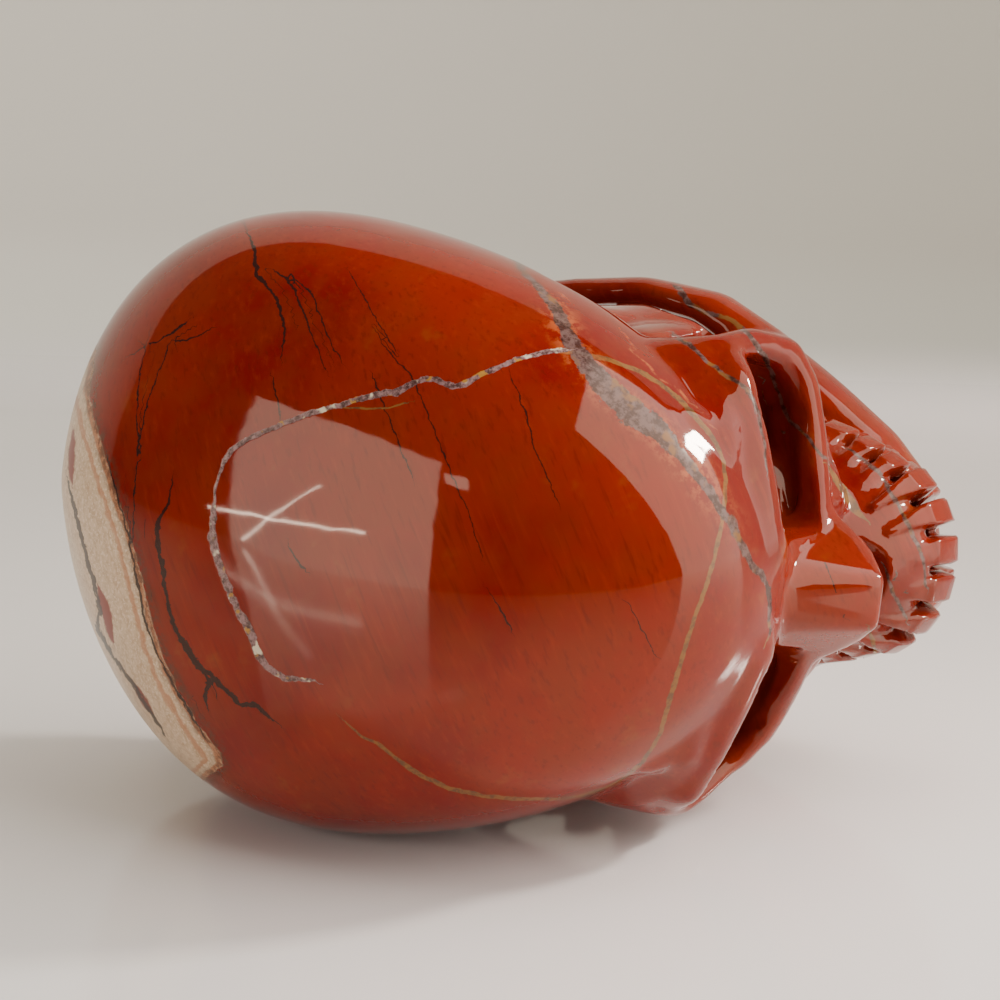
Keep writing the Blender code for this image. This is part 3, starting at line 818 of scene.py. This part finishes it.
look = Vector((-view_axes[2].x, -view_axes[2].y, 0)).normalized()
facing = math.atan2(look.y, look.x) - math.pi / 2 - WALL_ASKEW
bpy.ops.object.select_all(action="DESELECT")
bpy.ops.mesh.primitive_plane_add(size=1.0)
table = bpy.context.object
table.name = "table"
turn = Matrix.Rotation(facing, 4, "Z")
corners = ((-TABLE_WIDTH / 2, WALL_BEHIND - TABLE_DEPTH), (TABLE_WIDTH / 2, WALL_BEHIND - TABLE_DEPTH),
           (-TABLE_WIDTH / 2, WALL_BEHIND), (TABLE_WIDTH / 2, WALL_BEHIND))
for vertex, (across, back) in zip(table.data.vertices, corners):
    vertex.co = (across, back, 0)
bpy.ops.object.mode_set(mode="EDIT")
bpy.ops.mesh.select_mode(type="EDGE")
bpy.ops.mesh.select_all(action="DESELECT")
bpy.ops.object.mode_set(mode="OBJECT")
far_edge = [edge for edge in table.data.edges
            if all(table.data.vertices[i].co.y > WALL_BEHIND - 0.01 for i in edge.vertices)][0]
far_edge.select = True
bpy.ops.object.mode_set(mode="EDIT")
bpy.ops.mesh.extrude_region_move(TRANSFORM_OT_translate={"value": (0, 0, WALL_HEIGHT)})
bpy.ops.object.mode_set(mode="OBJECT")
for edge in table.data.edges:
    ends = [table.data.vertices[i].co for i in edge.vertices]
    edge.select = all(end.y > WALL_BEHIND - 0.01 and end.z < 0.01 for end in ends)
bpy.ops.object.mode_set(mode="EDIT")
bpy.ops.mesh.bevel(offset=FOLD_RADIUS, segments=16, profile=0.5)
bpy.ops.mesh.select_all(action="SELECT")
bpy.ops.mesh.normals_make_consistent(inside=False)
bpy.ops.object.mode_set(mode="OBJECT")
bpy.ops.object.shade_smooth()
table.data.transform(turn)
table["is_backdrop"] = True

laminate = bpy.data.materials.new("pale_laminate")
laminate.use_nodes = True
nodes = laminate.node_tree.nodes
links = laminate.node_tree.links
surface = nodes["Principled BSDF"]
place = nodes.new("ShaderNodeTexCoord").outputs["Object"]
parts = nodes.new("ShaderNodeSeparateXYZ")
links.new(place, parts.inputs[0])
camera_side = view_axes[0]
on_wall = between(parts.outputs[2], 0.001, 0.016)
to_right = sum_of("ADD", sum_of("MULTIPLY", parts.outputs[0], camera_side.x),
                  sum_of("MULTIPLY", parts.outputs[1], camera_side.y))
# painted shade: the wall's colour is lighter on the left and darker on the right, standing in for how the
# light falls on it
wall_paint_and_painted_shade = paint(between(to_right, -0.12, 0.14), (0.70, 0.67, 0.59, 1.0), (0.49, 0.47, 0.40, 1.0))
# painted shadow and light: the desk is darker on the left, where the skull's shadow falls, and lighter
# and pinker on the right
desk_top_painted_light_and_shadow = paint(between(to_right, -0.10, 0.06), (0.70, 0.66, 0.62, 1.0), (0.90, 0.82, 0.78, 1.0))
put(surface, "Base Color", paint(on_wall, desk_top_painted_light_and_shadow, wall_paint_and_painted_shade))
put(surface, "Roughness", sum_of("ADD", sum_of("MULTIPLY", on_wall, 0.4), 0.11))
table.data.materials.append(laminate)


# LIGHT
# Daylight from two windows behind the camera and a small one beside them, two
# streaks of sun, a bright lamp on the right, a soft ceiling and a dim room.

AIM_HEIGHT = 0.045
DAYLIGHT = (1.0, 0.96, 0.91)


def window(name, towards, height, distance, width, tall, radiance, mirrored=True, lean=0.0):
    """A glowing rectangle that faces the skull; towards and height are angles round it."""
    way = Vector((math.sin(math.radians(towards)) * math.cos(math.radians(height)),
                  math.cos(math.radians(towards)) * math.cos(math.radians(height)),
                  math.sin(math.radians(height))))
    bpy.ops.object.select_all(action="DESELECT")
    bpy.ops.object.light_add(type="AREA")
    lamp = bpy.context.object
    lamp.name = name
    lamp.data.shape = "RECTANGLE"
    lamp.data.size = width
    lamp.data.size_y = tall
    lamp.data.energy = math.pi * width * tall * radiance
    lamp.data.color = DAYLIGHT
    facing_skull = way.to_track_quat("Z", "Y").to_matrix().to_4x4()
    place = Matrix.Translation(way * distance + Vector((0, 0, AIM_HEIGHT)))
    lamp.matrix_world = place @ facing_skull @ Matrix.Rotation(math.radians(lean), 4, "Z")
    lamp.visible_glossy = mirrored
    return lamp


window("left_window", -75, 12, 1.5, 0.95, 0.95, 3.9)
window("right_window", 158, 31, 1.6, 1.9, 2.2, 4.4)
window("side_lamp", 133, 33, 1.4, 0.16, 0.16, 250.0)
window("ceiling_lamp", 60, 80, 1.6, 1.6, 1.6, 1.9, mirrored=False)
window("small_window", -98, 24.0, 1.5, 0.14, 0.09, 5.0)
window("sun_streak", -67, 4.0, 1.4, 0.62, 0.009, 34.0, lean=6)
window("cross_streak", -65, 6.0, 1.4, 0.44, 0.009, 24.0, lean=-128)

world = bpy.data.worlds.new("room")
bpy.context.scene.world = world
world.use_nodes = True
world.node_tree.nodes["Background"].inputs["Color"].default_value = (0.13, 0.12, 0.11, 1.0)
world.node_tree.nodes["Background"].inputs["Strength"].default_value = 1.0

low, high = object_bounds()
